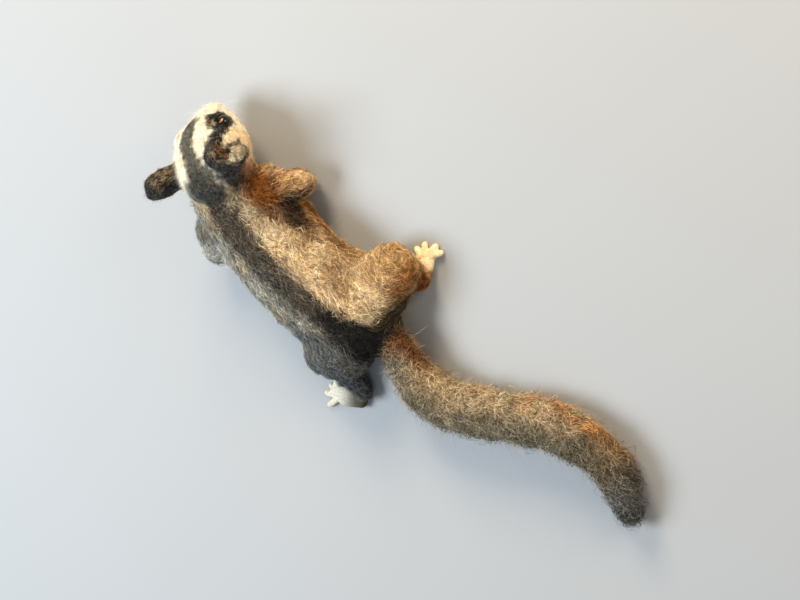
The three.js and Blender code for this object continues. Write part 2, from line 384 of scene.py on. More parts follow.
def ear_lie(points):
    """For each point, the direction round the nearer lobe of the right ear, and whether there is one."""
    seen = in_head(points) @ EAR_SIGHT.T
    offsets = [seen[:, :2] - middle for middle in EAR_WHORLS]
    reaches = [lengths(offset) for offset in offsets]
    offset = np.where((reaches[0] < reaches[1])[:, None], *offsets)
    round_lobe = turned(np.column_stack([-offset[:, 1], offset[:, 0]]) @ EAR_SIGHT[:2])
    return unit(round_lobe), lengths(offset) > WHORL_EYE


def coat_lie(skin):
    """The direction along the skin in which the coat lies at each vertex."""
    lie = np.zeros_like(skin.points)
    for node, direction in LIES.items():
        lie[skin.nodes == node] = direction
    for thigh, out in zip(both("thigh"), (1, -1)):
        chosen = skin.nodes == thigh
        lie[chosen] = unit(np.cross((out, 0, 0), middle_of(thigh) - skin.points[chosen]))
    round_lobe, whorled = ear_lie(skin.points)
    chosen = whorled & (skin.nodes == "ear_right")
    lie[chosen] = round_lobe[chosen]
    lie[stroke(skin.points, SHOULDER_RIDGE, RIDGE_EDGE) > 0.5] = unit(SHOULDER_LIE)
    tail = np.char.startswith(skin.nodes, "tail")
    lie[tail] = along_path(skin.points[tail], TAIL_PATH)[1]
    lie = spread(lie, skin.edges, LIE_ROUNDS)
    return along_surface(lie, skin.normals)


# Skin

# The solids are swollen by more than half their gap, so that they join, and remeshed at an even grain
SEAM_FILL = 0.22
VOXEL = 0.56
# Felt inside each eye's socket, under the bead
EYE_PAD = 2.2
# Extra wool that fills the joins: (x, y, z, radius) in the figure's frame
PADS = [
    (-28.4, -72.5, 11.9, 2.7), (-26.4, -75.3, 11.3, 2.3), (13.5, -66, 17, 5.5), (16, -62, 12, 5),
    (15, -57, 12, 5), (20, -18, 13, 6), (18, -23, 12, 5.5),
]
# How often the surface, the kinds of flesh and the coat's lie are averaged with their neighbours
SMOOTHING_ROUNDS = 26
KIND_ROUNDS = 6
LIE_ROUNDS = 12
FLOOR_CLEARANCE = 0.05
# Soft lumps of the felt
LUMPS = Noise(0.16, 7, 1)
FINE_LUMPS = Noise(0.07, 2.4, 2)
TAIL_LUMPS = Noise(0.3, 8, 3)
# The rim of felt round each eye: how far from its middle, how wide and high, and on which side
EYELID_REACH = 3.9
EYELID_WIDTH = 0.9
EYELID_RISE = 0.8
LEFT_EYELID_RISE = 1.7
EYELID_SIDE = (-0.7, 0.1, 0.7)
# Hollows and swellings of the felt: places, softness and height, in the head's frame or the figure's
HEAD_RELIEF = [
    ([(-22.2, 3.4, 18.4, 0.4), (-23.4, 6, 17.4, 0.8), (-24.2, 9, 15.6, 0.5)], 2.6, -1.7),
    ([(-12.8, -3.4, 9.8, 1), (-10.8, -0.6, 12, 1.6)], 3, 1.6),
    ([(-12.6, -1.8, 10.8, 0.4)], 2, -1),
    ([(-23.2, -0.6, 7.3, 0.9)], 2.4, -1),
]
BODY_RELIEF = [
    ([(-33.2, -65.4, 12, 2), (-35, -63.6, 11.2, 1.2)], 5, -3.4),
    ([(-36.4, -61.2, 9.5, 1.5), (-35.4, -61.2, 6.5, 2), (-34.5, -59.2, 3.5, 2)], 5, -1.5),
    ([(-26.5, -52.7, 11, 1.5), (-30.2, -51.5, 9.5, 2.5)], 5, -2),
    ([(-22.8, -76.6, 1, 1.5), (-24.2, -74.8, 1.2, 1.8)], 3, -1.1),
    ([(-25, -54, 17, 2), (-24, -49, 18.5, 1)], 5, -1.8),
    ([(25, -80, 17, 2), (25.5, -76, 16, 3), (24.5, -73, 14, 2)], 6, -1.8),
]
# Dark felt shows its single fibres wherever it is, and black felt hardly any
DARK_LIVELY = 0.85
BLACK_LIVELY = 0.3


def remeshed_flesh():
    """The flesh nodes, thickened until they join, as one even mesh."""
    joined = bmesh.new()
    for node in FLESH_NODES:
        joined.from_mesh(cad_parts[node].data)
    bmesh.ops.remove_doubles(joined, verts=joined.verts, dist=1e-6)
    joined.normal_update()
    for vertex in joined.verts:
        vertex.co += vertex.normal * (SEAM_FILL * MM)
    eyes = [(*middle_of(eye), EYE_PAD) for eye in both("eye")]
    for *place, radius in eyes + PADS:
        centre = Matrix.Translation(vector_in_metres(place))
        bmesh.ops.create_icosphere(joined, subdivisions=3, radius=radius * MM, matrix=centre)
    solid = bpy.data.meshes.new("flesh")
    joined.to_mesh(solid)
    joined.free()
    holder = add_object("flesh", solid)
    remesh = holder.modifiers.new("voxels", "REMESH")
    remesh.mode = "VOXEL"
    remesh.voxel_size = VOXEL * MM
    mesh = modified(holder)
    bpy.data.objects.remove(holder)
    bpy.data.meshes.remove(solid)
    return mesh


def keep_largest(mesh):
    """Drops every closed surface but the largest, such as a pocket shut inside."""
    count = len(mesh.vertices)
    edges = read(mesh.edges, "vertices", 2, int)
    labels = np.arange(count)
    while True:
        low = np.minimum(labels[edges[:, 0]], labels[edges[:, 1]])
        merged = labels.copy()
        np.minimum.at(merged, labels[edges[:, 0]], low)
        np.minimum.at(merged, labels[edges[:, 1]], low)
        merged = merged[merged]
        if (merged == labels).all():
            break
        labels = merged
    main = np.bincount(labels).argmax()
    loose = bmesh.new()
    loose.from_mesh(mesh)
    loose.verts.ensure_lookup_table()
    strays = [loose.verts[index] for index in np.nonzero(labels != main)[0]]
    bmesh.ops.delete(loose, geom=strays, context="VERTS")
    loose.to_mesh(mesh)
    loose.free()


def move(mesh, points):
    """Sets the mesh's vertices, given in the figure's own frame, and returns their new normals."""
    fill(mesh.vertices, "co", in_metres(points))
    mesh.update()
    return read(mesh.vertex_normals, "vector", 3)


def nearest_nodes(points):
    """For each point, the name of the node of flesh that it lies nearest to."""
    corners, faces, owners = [], [], []
    for node in FLESH_NODES:
        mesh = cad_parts[node].data
        first = len(corners)
        corners.extend(tuple(vertex.co) for vertex in mesh.vertices)
        faces.extend([first + index for index in face.vertices] for face in mesh.polygons)
        owners.extend([node] * len(mesh.polygons))
    tree = BVHTree.FromPolygons(corners, faces)
    return np.array(owners)[nearest(tree, in_metres(points))[2]]


class Skin:
    """The felted skin: its mesh and, for each vertex, its kind of flesh, lie of the coat and colour."""

    def __init__(self):
        self.mesh = remeshed_flesh()
        keep_largest(self.mesh)
        self.edges = read(self.mesh.edges, "vertices", 2, int)
        self.points = in_millimetres(read(self.mesh.vertices, "co", 3))
        self.nodes = nearest_nodes(self.points)
        kinds = np.array([KINDS.index(KIND_OF[node]) for node in self.nodes])
        self.kinds = spread(np.eye(len(KINDS))[kinds], self.edges, KIND_ROUNDS)
        self.shape()
        self.lie = coat_lie(self)
        self.colour = paint(self)
        self.lively = self.liveliness(self.colour.mean(axis=1))

    def field(self, name):
        """A value of the kinds of flesh, blended over the skin."""
        return self.kinds @ np.array([getattr(FLESH[kind], name) for kind in KINDS])

    def kind(self, name):
        return self.kinds[:, KINDS.index(name)]

    def shape(self):
        """Smooths the joins, draws the skin in by the coat's depth and adds the soft lumps of felt."""
        self.points = spread(self.points, self.edges, SMOOTHING_ROUNDS, self.field("smooth"))
        normals = move(self.mesh, self.points)
        depth = self.field("depth") + SEAM_FILL
        lumps = noise(self.points, LUMPS) + noise(self.points, FINE_LUMPS)
        calm = 1 - 0.6 * (self.kind("paw") + self.kind("nose") + self.kind("face"))
        relief = lumps * calm - depth + self.eyelids() + noise(self.points, TAIL_LUMPS, self.kind("tail"))
        for points, forms in ((in_head(self.points), HEAD_RELIEF), (self.points, BODY_RELIEF)):
            for places, soft, height in forms:
                relief += height * stroke(points, places, soft)
        self.points = self.points + normals * relief[:, None]
        self.points[:, 2] = np.maximum(self.points[:, 2], FLOOR_CLEARANCE)
        self.normals = move(self.mesh, self.points)

    def eyelids(self):
        """A low rim of felt over the upper side of each eye."""
        place = in_head(self.points)
        offset = outwards(place) - EYE_IN_HEAD
        reach = lengths(offset)
        upper = step(offset @ unit(EYELID_SIDE), -1.0, 2.0)
        rise = np.where(place[:, 0] > 0, LEFT_EYELID_RISE, EYELID_RISE)
        return rise * np.exp(-((reach - EYELID_REACH) / EYELID_WIDTH) ** 2) * upper

    def liveliness(self, tone):
        """How much single fibres stray in colour, by the kind of flesh and how light the felt is."""
        dark = step(tone, 0.2, 0.04) * step(tone, 0.006, 0.02) * (1 - self.kind("paw"))
        lively = np.maximum(self.field("lively"), DARK_LIVELY * dark)
        return lively * (BLACK_LIVELY + (1 - BLACK_LIVELY) * step(tone, 0.005, 0.014))


# Markings on the trunk and limbs, as strokes through (x, y, z, radius) places in the figure's frame

# The dark stripe down the back to the rump, and the rump's darkest part: the stripe's end, with painted
# shade over it
BACK_STRIPE = [
    (-18, -80.7, 34, 8.8), (-14.6, -76.4, 32, 7.8), (-8, -72, 30.5, 7.4), (-5.6, -66.6, 30.5, 6.8),
    (-4.8, -60.2, 30.5, 6.3), (-3.3, -52.6, 30.5, 6.1), (-2.6, -44.8, 30.5, 5.6), (-2.6, -36.5, 30.4, 5.8),
    (-2.7, -26.5, 30.2, 5.4), (-3.2, -18, 29.6, 4.9), (-2.6, -9.7, 28.6, 5.8), (-2, -2.8, 26.8, 6.8),
    (-2.6, 3.8, 23, 9.4), (-1.5, 9, 18, 10.5),
]
RUMP_STRIPE_AND_SHADE = [(-3, -14, 29, 3), (-4, 2, 25, 6.5), (-2, 9, 18, 10)]
LEFT_SHANK_DRAB = [(35, 10, 1.5, 3), (30, 14, 2, 3)]
# Painted warm shade, rusty, at the right hind foot's heel
RIGHT_HEEL_WARM_SHADE = [(-34, 4, 3, 2.5), (-32, 9, 3, 5)]
# Where the left hind foot's toes end, and the way from there to its heel, along which painted shade
# darkens the foot
LEFT_TOES = (39.5, -2.3, 2)
TOES_TO_HEEL = (-0.35, 0.94, 0)
# Where the grey left side gives way to the sandy right one, across the back
MIDDLE = (3, -5)
BODY_LAYERS = [
    # Colour, places, softness and strength
    # The sandy right side, paler and darker by turns from the shoulder to the hip
    (STRAW, [(-14, -58, 28.5, 4), (-15, -48, 28, 3)], 6, 0.5),
    (TAN * 0.8, [(-18, -24, 25.5, 4), (-18, -12, 25, 5)], 8, 0.85),
    (TAN * 1.1, [(-31, -8, 22, 6), (-36, 0, 16, 10)], 8, 0.8),
    (BEIGE, [(-13, -64, 28, 4), (-10, -52, 29.5, 2), (-9, -34, 30, 1.5)], 5, 0.7),
    (TAN * 0.8, [(-12, -45, 29, 1.5), (-18, -43, 26, 2), (-19.5, -37.5, 25, 2.8)], 4, 0.75),
    (TAN, [(-12, -36, 29, 1.5), (-12.5, -30, 28.8, 1.5)], 3, 0.5),
    (BROWN * 1.1, [(-22.5, -38.5, 21.3, 2.2), (-22.3, -34.5, 21.8, 2.2)], 4, 0.55),
    (DRAB, [(-10.5, -40, 29.2, 1.2), (-9.5, -31, 29.5, 1.6), (-9, -24, 29.3, 1.2)], 3, 0.6),
    # The right arm, with a peach ridge and a light patch at the elbow, both painted highlights
    (CARAMEL * 0.7, [(-38, -62, 12, 9), (-26, -66, 20, 8)], 5, 0.95),
    (PEACH * 0.8, [(-29, -73, 14, 3.5), (-32, -66, 15, 2)], 5, 0.7),
    (TAN * 1.3, [(-31.4, -61, 18.4, 2.8), (-34.2, -58, 17, 3.2), (-36.5, -56, 14, 3)], 4, 0.9),
    (PEACH, [(-35.4, -62.5, 14, 2.2), (-37.4, -59.4, 12, 3.2), (-37, -56.5, 11, 2.8),
             (-36, -55.2, 12.5, 1.5)], 4, 0.9),
    # Rusty wool from the neck to the shoulder, partly painted warm light in the shade there, and painted
    # shade beside the arm
    (RUST, [(-27, -76, 21, 5), (-24, -72, 23, 6), (-23, -64, 23, 6), (-23.5, -58, 21, 3.5)], 4, 0.95),
    (RUST * 0.36, [(-24.7, -75, 21, 4), (-21.8, -72.2, 24.7, 3), (-20.4, -67.6, 25, 1.5)], 4, 0.9),
    (RUST * 0.28, [(-26.5, -66, 21.6, 2), (-26.8, -63, 21.2, 3.2), (-26, -60, 20.6, 2.4)], 3, 0.85),
    (UMBER, [(-29, -67, 18.5, 1.5)], 3, 0.6),
    # Brown above the dark fold behind the arm, the fold, dark with painted shade, and ochre under it
    (BROWN * 0.65, [(-19.5, -61.5, 25.5, 1.5), (-20, -58, 24.8, 3.5), (-20.8, -54.5, 24, 3.5)], 3.5, 0.9),
    (BROWN * 0.65, [(-20.8, -54.5, 24, 3.5), (-21.5, -50, 23, 3.2), (-22.3, -45, 21.5, 2.5)], 3.5, 0.9),
    (BROWN, [(-17.5, -59, 26.6, 2.5), (-17.2, -55.5, 26.7, 1.8)], 4, 0.55),
    (BROWN * 0.8, [(-24, -42.5, 18.5, 2.5), (-23.3, -38.5, 20.4, 2.2)], 4, 0.6),
    # Painted shade in the fold
    (UMBER * 0.2, [(-25, -55, 17.5, 4.6), (-24.5, -50, 18, 6), (-23.7, -44.5, 19.5, 3.8)], 4, 0.97),
    (OCHRE * 0.7, [(-23.5, -53, 8, 3), (-22, -47, 7, 3), (-24.5, -37, 11, 2.6),
                   (-25, -29, 12, 1.5)], 4, 0.95),
    # The back of the right thigh, brown and rusty, partly painted shade
    (BROWN, [(-34, 4, 15, 5), (-28, 6, 18, 5)], 6, 0.7),
    (RUST, [(-28.3, 4, 20, 2.5), (-38, 3, 14, 3.5)], 5, 0.5),
    # Painted shade in the hollow behind the right elbow, and the flank from there to the thigh
    (UMBER, [(-26.5, -56, 18, 2), (-28.5, -53.8, 15, 2.5), (-32, -52, 11, 3)], 4, 0.9),
    (UMBER, [(-28.6, -54, 16.6, 1.4), (-30.2, -51.8, 13.6, 2.2), (-32.8, -51.4, 10.5, 2.4)], 3, 0.9),
    (BROWN * 1.2, [(-23, -44, 14, 3), (-24.4, -36, 14, 4), (-24, -27, 12, 4)], 6, 0.75),
    # Painted shadow in the hollow between the right thigh and the tail's root
    (UMBER * 0.35, [(-21.8, 10, 15, 7), (-15.6, 6.8, 20, 5), (-12, 9, 10, 7)], 5, 0.97),
    # The grey left side: dark at the hip and pale beside the stripe and at the shoulder
    (SLATE * 0.92, [(16, -17, 23, 5), (12, -5, 25, 9), (16, 4, 16, 12), (26, -8, 14, 10)], 6, 0.95),
    (SLATE * 1.1, [(7.5, -33, 28.5, 2), (8.5, -26, 28, 4), (12, -20, 26, 5)], 8, 0.75),
    (ASH * 1.5, [(10.7, -51.5, 27.3, 2.2), (9.8, -42, 28, 2.2), (9, -36, 28.3, 2)], 4, 0.9),
    (ASH * 1.45, [(9.6, -36, 28, 1.8), (9.8, -30, 28, 1), (8.2, -21.5, 28.2, 1.8)], 3.5, 0.85),
    (ASH * 1.85, [(20, -76, 19, 5), (22, -82, 15, 6), (16, -68, 22, 4)], 7, 0.9),
    # The belly
    (CREAM * 0.8, [(-2, -70, 0, 14), (-2, -10, 0, 14)], 6, 0.7),
]

# Markings on the tail

TAIL_RUST = [(-36, 88, 12, 1.5), (-36.7, 103, 12, 3)]
TAIL_TIP_RUST = [(-26.5, 125.7, 9.8, 2)]
TAIL_ROOT_BROWN = [(-8, 6, 17, 7), (-6, 11, 18, 6)]
# Rusty wool at the tail's root, partly painted warm light in its shade
TAIL_ROOT_RUST_AND_WARM_SHADE = [(-10, 11, 13, 3), (-9.5, 15, 14, 3.5), (-8.5, 20, 13, 4), (-7, 26, 9, 3.5)]
# A painted shadow beside the tail's root, between it and the left thigh
TAIL_ROOT_SHADOW = [(5, 8, 12, 8), (8, 17, 9, 6), (10, 24, 8, 4)]
# The ways that its pale top, grey far side, ochre near side and the near side of its tip face: a painted
# highlight, painted shade, painted warm light and painted shade
TAIL_LIT_TOP = (-0.5, -0.35, 0.8)
TAIL_SHADED_SIDE = (0.725, 0.641, 0.253)
TAIL_WARM_LIT_SIDE = (-0.8, -0.5, -0.1)
TAIL_TIP_SHADED_SIDE = (-0.9, 0.35, 0.2)

# Markings on the head, in its frame

# The dark stripe from between the eyes over the crown
HEAD_STRIPE = [
    (1.2, -16.5, 8.2, 1.6), (1.1, -13, 10.6, 4.2), (0.8, -7, 13.4, 4.6), (0.2, -2, 14.5, 3.7),
    (-2.2, 3, 14.4, 3.8), (-3.4, 8, 13.2, 5.2), (-3, 12.5, 9.4, 7.4),
]
CHEEK_RIM = [(-16, -7, -7, 2), (-15.4, -1, -7.4, 3), (-14.4, 3, -7.6, 3)]
NOSE_TIP = [(0, -24.6, -2.2, 2.6)]
# Round each eye, with x counted outwards from the middle of the head: the dark ring, the arc before it,
# the hook above, what they enclose and the band that runs back to the crown, and the flecks in the dark
EYE_DARK = [
    [(12.7, -11.7, 4, 4.6)],
    [(7, -14.4, 8, 1.6), (7.6, -15.8, 6.2, 2.2), (9.4, -15.8, 4.2, 2.6), (12, -14.8, 2.6, 2.4)],
    [(7.2, -14, 8.2, 1.3), (8.6, -12.2, 8.8, 1.3), (10.8, -9.4, 9, 1.3), (12.8, -7.2, 8.6, 1.5)],
    [(9.6, -13.6, 6.6, 2.4), (11.6, -10.4, 7.4, 2.2)],
    [(15, -9.4, 4, 2.2), (14.6, -7.2, 6.4, 2.1), (13.6, -5.4, 8.2, 1.9), (12.4, -2.6, 10.4, 2.6)],
]
EYE_FLECKS = [
    [(9.4, -12.8, 7.8, 0.8), (10.8, -10.8, 8.2, 1.1)],
    [(14.4, -8.4, 6.2, 0.6), (13.4, -8.4, 7.4, 0.5)],
]
# How much further out the left eye's patch starts
LEFT_PATCH_SHIFT = 2.6
# The right ear as EAR_SIGHT shows it: (along, up, 0, radius)
EAR_DARK = [
    (3.2, 11.2, 0, 2), (0.3, 7.6, 0, 2.8), (-0.7, 4, 0, 3.3), (0.1, 0.9, 0, 3.3), (2.8, -1.6, 0, 3.1),
    (5.5, -3, 0, 2),
]
# The dark outline round the outer lobe, partly a painted contact shadow against the cheek
EAR_LOBE = [(9.2, 3, 0, 4.5)]
EAR_CREAM = [(9.2, 3.4, 0, 2.8), (8, 1.4, 0, 1.9), (6.8, -0.8, 0, 0.8)]
# Painted shade, brown and rusty, along the ear's cup
EAR_CUP_SHADE = [(-0.3, 6.6, 0, 0.4), (0.9, 5.2, 0, 0.6), (2.4, 3.6, 0, 0.7), (4.2, 1.2, 0, 0.8)]
EAR_MOTTLE = [(-1.6, 4.4, 0, 0.8), (-0.4, 1.4, 0, 0.9), (2, -0.6, 0, 0.8), (9, -0.4, 0, 1.1)]
# In the head's frame: a light spot where that lobe's rim meets the cheek, and the other marks by the ears
CHEEK_CLEAR = [(-23.4, -1.1, 7.4, 0.9)]
EAR_FACE_LEFT = [(13.4, 4, 16.2, 4.2), (15.5, 7, 17.5, 3.6)]
BEHIND_EAR = [(-15.2, 7.6, 2.2, 3.6), (-13.6, 10, 5, 4.2), (-13, 13, 0, 4.6)]
NAPE_LIGHT = [(-9.4, 15.2, 2.4, 1.2), (-8.2, 17, -1.2, 2.2), (-5.8, 19.8, -2.2, 2.2)]
BEIGE_LINE = [
    (-6.9, 5.8, 13.2, 1.3), (-8.2, 9.3, 10.8, 1.7), (-9.9, 12.6, 6.9, 2), (-10.3, 14.5, 4.3, 1.6),
]

# Painting

# How ragged the edges of the markings are: how far they stray, and over what length
RAGGED_REACH = 0.49
RAGGED_SIZE = 1.8
MOTTLE = Noise(0.16, 1.5, 14)
BROAD_MOTTLE = Noise(0.12, 3.2, 15)
TAIL_MOTTLE = Noise(0.2, 4.5, 16)


def blend(colour, tint, share):
    """The colour with that share of the tint in it."""
    return colour + (tint - colour) * np.asarray(share)[:, None]


def layered(colour, layers):
    """The colour with each (tint, share) layer blended over it in turn."""
    for tint, share in layers:
        colour = blend(colour, tint, share)
    return colour


def paint(skin):
    """The colour of the wool over the whole skin."""
    points = skin.points
    strays = np.column_stack([waves(points, RAGGED_SIZE, seed) for seed in (11, 12, 13)])
    ragged = points + RAGGED_REACH * strays
    colour = skin.kinds @ np.array([FLESH[kind].colour for kind in KINDS])
    for paint_part in (paint_body, paint_feet, paint_tail, paint_head, paint_ears):
        colour = paint_part(skin, colour, ragged)
    mottle = noise(points, MOTTLE) + noise(points, BROAD_MOTTLE)
    mottle += noise(points, TAIL_MOTTLE, skin.kind("tail"))
    return np.clip(colour * np.exp(mottle * skin.field("lively"))[:, None], 0, 1)


def paint_body(skin, colour, ragged):
    """The trunk and limbs: grey on the left and sandy on the right, with the stripe between."""
    points = skin.points
    body = 1 - sum(skin.kind(name) for name in ("face", "nose", "ear", "paw", "tail"))
    low = step(points[:, 2], 27, 14)
    sandy = blend(SAND, TAN, np.clip(low * 0.8 + 0.25 * (waves(points, 5, 21) > 0.6), 0, 1))
    grey = blend(ASH * 0.78, BEIGE * 0.8, 0.4 * step(waves(points, 6, 22), 0.2, 1.4))
    colour = blend(colour, blend(grey, sandy, step(ragged[:, 0], *MIDDLE)), body)
    for tint, places, soft, strength in BODY_LAYERS:
        colour = blend(colour, tint, stroke(ragged, places, soft) * strength * body)
    return layered(colour, [
        (CHARCOAL, stroke(ragged, BACK_STRIPE, 3) * 0.95 * (1 - skin.kind("tail"))),
        # Near-black over the rump: the stripe's end and painted shade
        (SOOT, stroke(ragged, RUMP_STRIPE_AND_SHADE, 5) * 0.97 * body),
    ])


def paint_feet(skin, colour, ragged):
    """The shanks, rusty on the right and grey on the left, darkened with painted shade, with the right
    one's rust partly painted warm light, and the pale paws, with painted shade on the left heel, the right
    heel and the right hand.
    """
    points = skin.points
    across, along = points[:, 0], points[:, 1]
    shanks = skin.kind("shank")
    paws = skin.kind("paw")
    right = paws * step(ragged[:, 0], *MIDDLE)
    left = paws * step(across, 0, 6)
    heel = step((points - LEFT_TOES) @ unit(TOES_TO_HEEL), -1, 12)
    return layered(colour, [
        # Rust on the right shank, partly painted warm light in its shade
        (RUST * 0.45, shanks * step(across, 0, -4)),
        # Grey on the left shank, darkened with painted shade
        (SLATE * 0.55, shanks * step(across, 0, 4) * 0.95),
        (DRAB * 0.6, shanks * stroke(points, LEFT_SHANK_DRAB, 4)),
        (WARM_WHITE, right),
        # Painted shade on the right hand
        (CHEEK_EDGE * 0.55, right * step(along, -50, -60) * 0.9),
        (CREAM * 0.75, left),
        # Painted shade darkening the left foot towards its heel
        (DRAB * 0.45, left * heel * (along > -40)),
        # Painted warm shade at the right heel
        (RUST, stroke(points, RIGHT_HEEL_WARM_SHADE, 3.5) * paws * 0.95),
    ])


def paint_tail(skin, colour, ragged):
    """The tail: sandy with a painted highlight above, grey with painted shade on its far side, ochre with
    painted warm light on its near side, rusty and dark at its root, the rust partly painted warm light and
    the dark on its left a painted shadow, and darker at its tip.
    """
    points, normals = skin.points, skin.normals
    share, _ = along_path(points, TAIL_PATH)
    # Painted shade on the far side and painted warm light on the near side
    shade = step(normals @ unit(TAIL_SHADED_SIDE), -0.6, 0.25)
    flank = step(normals @ unit(TAIL_WARM_LIT_SIDE), 0.35, 0.85)
    rusty = stroke(ragged, TAIL_RUST, 5) + stroke(ragged, TAIL_TIP_RUST, 3)
    coat = layered(BEIGE * 0.46 + SAND * 0.24, [
        (TAN, 0.6 * step(waves(points, 5, 31), 0, 1.2)),
        (BROWN, 0.65 * step(waves(points, 3.4, 32), 0.4, 1.6)),
        # A painted highlight on the top
        (SAND, 0.2 * step(normals @ unit(TAIL_LIT_TOP), 0.6, 0.95)),
        (TAN * 0.85, 0.7 * step(share, 2.2, 1.2) * (1 - shade)),
        (OCHRE, flank * 0.55 * step(waves(points, 7, 33), -0.6, 0.8) * step(share, 3.4, 4.6)),
        (OCHRE * 1.1, 0.65 * rusty),
        (TAN * 0.8, 0.7 * step(share, 4.6, 6.4)),
        # Painted shade on the near side of the tip
        (BROWN * 0.6, 0.85 * step(share, 5.6, 7) * step(normals @ unit(TAIL_TIP_SHADED_SIDE), 0, 0.6)),
        (DRAB * (1 - 0.4 * step(share, 3, 5))[:, None], shade * 0.9),
        (SLATE, 0.7 * step(share, 6.2, 7.6)),
        (CHARCOAL, 0.5 * step(share, 7.4, 8)),
        (BROWN * 0.6, stroke(ragged, TAIL_ROOT_BROWN, 5) * 0.95),
        # Rust at the root, partly painted warm light
        (RUST * 0.42, stroke(ragged, TAIL_ROOT_RUST_AND_WARM_SHADE, 3) * 0.9),
        # A painted shadow beside the root
        (CHARCOAL, stroke(ragged, TAIL_ROOT_SHADOW, 6) * 0.9),
    ])
    return blend(colour, coat, skin.kind("tail"))


def paint_head(skin, colour, ragged):
    """The face: white with a dark stripe, peach cheeks, partly painted warm light on the right one, and
    dark patches round the eyes.
    """
    place = in_head(ragged)
    x, y, z = place.T
    out = outwards(place)
    head = skin.kind("face") + skin.kind("nose")
    colour = layered(colour, [
        # The right cheek and its lower rim, peach and orange that is partly painted warm light, the
        # throat, the corner of the jaw, rusty and partly painted warm light in its shade, and the nape
        (APRICOT, head * (step(x, -13, -18) * step(y, -17, -9)) * 0.85),
        (CHEEK_EDGE, stroke(place, CHEEK_RIM, 5) * head * 0.7),
        (PEACH, head * (step(z, 0, -9) * step(y, -20, -12)) * 0.6),
        (RUST, head * (step(y, 1, 8) * step(z, 3, -3) * step(x, -8, -13)) * 0.9),
        (GRAPHITE, head * step(y + 0.45 * z, 13, 18) * 0.85),
        (PINK, stroke(out, NOSE_TIP, 2.4) * head),
        (GRAPHITE, stroke(place, HEAD_STRIPE, 2.2) * head * 0.93),
    ])
    # The left eye's patch starts further out and leaves its eyelid clear
    on_left = x > 0
    shift = LEFT_PATCH_SHIFT * on_left[:, None] * (1, 0, 0)
    shown = 1 - on_left * step((out - EYE_IN_HEAD) @ unit(EYELID_SIDE), -1, 1)
    for patch in EYE_DARK:
        colour = blend(colour, SOOT, stroke(out - shift, patch, 0.9) * head * 0.95 * shown)
    for patch in EYE_FLECKS:
        colour = blend(colour, BEIGE, stroke(out, patch) * head * 0.7)
    return colour


def paint_ears(skin, colour, ragged):
    """The ears' mottled faces, the markings round the right one and those behind it, with painted shade in
    the right one's cup and a dark outline round its outer lobe that is partly painted contact shadow.
    """
    place = in_head(ragged)
    ear = skin.kind("ear")
    seen = place @ EAR_SIGHT.T
    near = step(seen[:, 2], 4, 7)
    seen[:, 2] = 0
    beside = near * (1 - skin.kind("trunk"))
    specks = step(waves(skin.points, 1.3, 51), -0.3, 0.9)
    layers = [
        # Colour, points, places, softness and strength
        (CHARCOAL, seen, EAR_DARK, 1, 0.95 * beside),
        # A dark outline round the outer lobe, partly a painted contact shadow
        (SOOT, seen, EAR_LOBE, 0.6, 0.95 * beside),
        (BEIGE * 0.62, seen, EAR_CREAM, 0.8, 0.95 * beside),
        (CREAM * 0.85, seen, EAR_CREAM, 1.6, 0.9 * beside * specks),
        # Painted shade, brown and rusty, in the ear's cup
        (BROWN, seen, EAR_CUP_SHADE, 1.2, 0.9 * beside),
        (RUST, seen, EAR_CUP_SHADE, 0.8, 0.55 * beside * specks),
        (BEIGE * 0.8, seen, EAR_MOTTLE, 1.6, 0.6 * near * ear * specks),
        (UMBER * 1.1, place, EAR_FACE_LEFT, 4, 0.85 * ear),
        (BEIGE * 0.7, place, EAR_FACE_LEFT, 3, 0.6 * ear * specks),
        (CHARCOAL, place, BEHIND_EAR, 3, 0.93 * (1 - ear)),
        (CREAM * 0.8, place, BEIGE_LINE, 2.4, (1 - ear) * (0.15 + 0.75 * specks)),
        (BEIGE * 1.2, place, NAPE_LIGHT, 2.5, (1 - ear) * (0.4 + 0.5 * specks)),
        (APRICOT, place, CHEEK_CLEAR, 0.8, 0.95),
    ]
    for tint, points, places, soft, strength in layers:
        colour = blend(colour, tint, stroke(points, places, soft) * strength)
    return colour


# Coat

# The nodes that strands grow on and their slot, how many there are, the least and greatest length and
# girth, how far they rise and stray, the rings of each, and the share that is loose
Coat = namedtuple("Coat", "nodes slot count length girth lift stray rings loose")


def body_coat(nodes, slot, count, lift=0.45, stray=0.6, loose=0.05):
    return Coat(nodes, slot, count, (3.2, 7.5), (0.14, 0.30), lift, stray, 3, loose)


def tail_coat(node, count, stray, loose):
    return Coat((node,), "wool_tail", count, (4.0, 9.0), (0.13, 0.28), 0.9, stray, 3, loose)


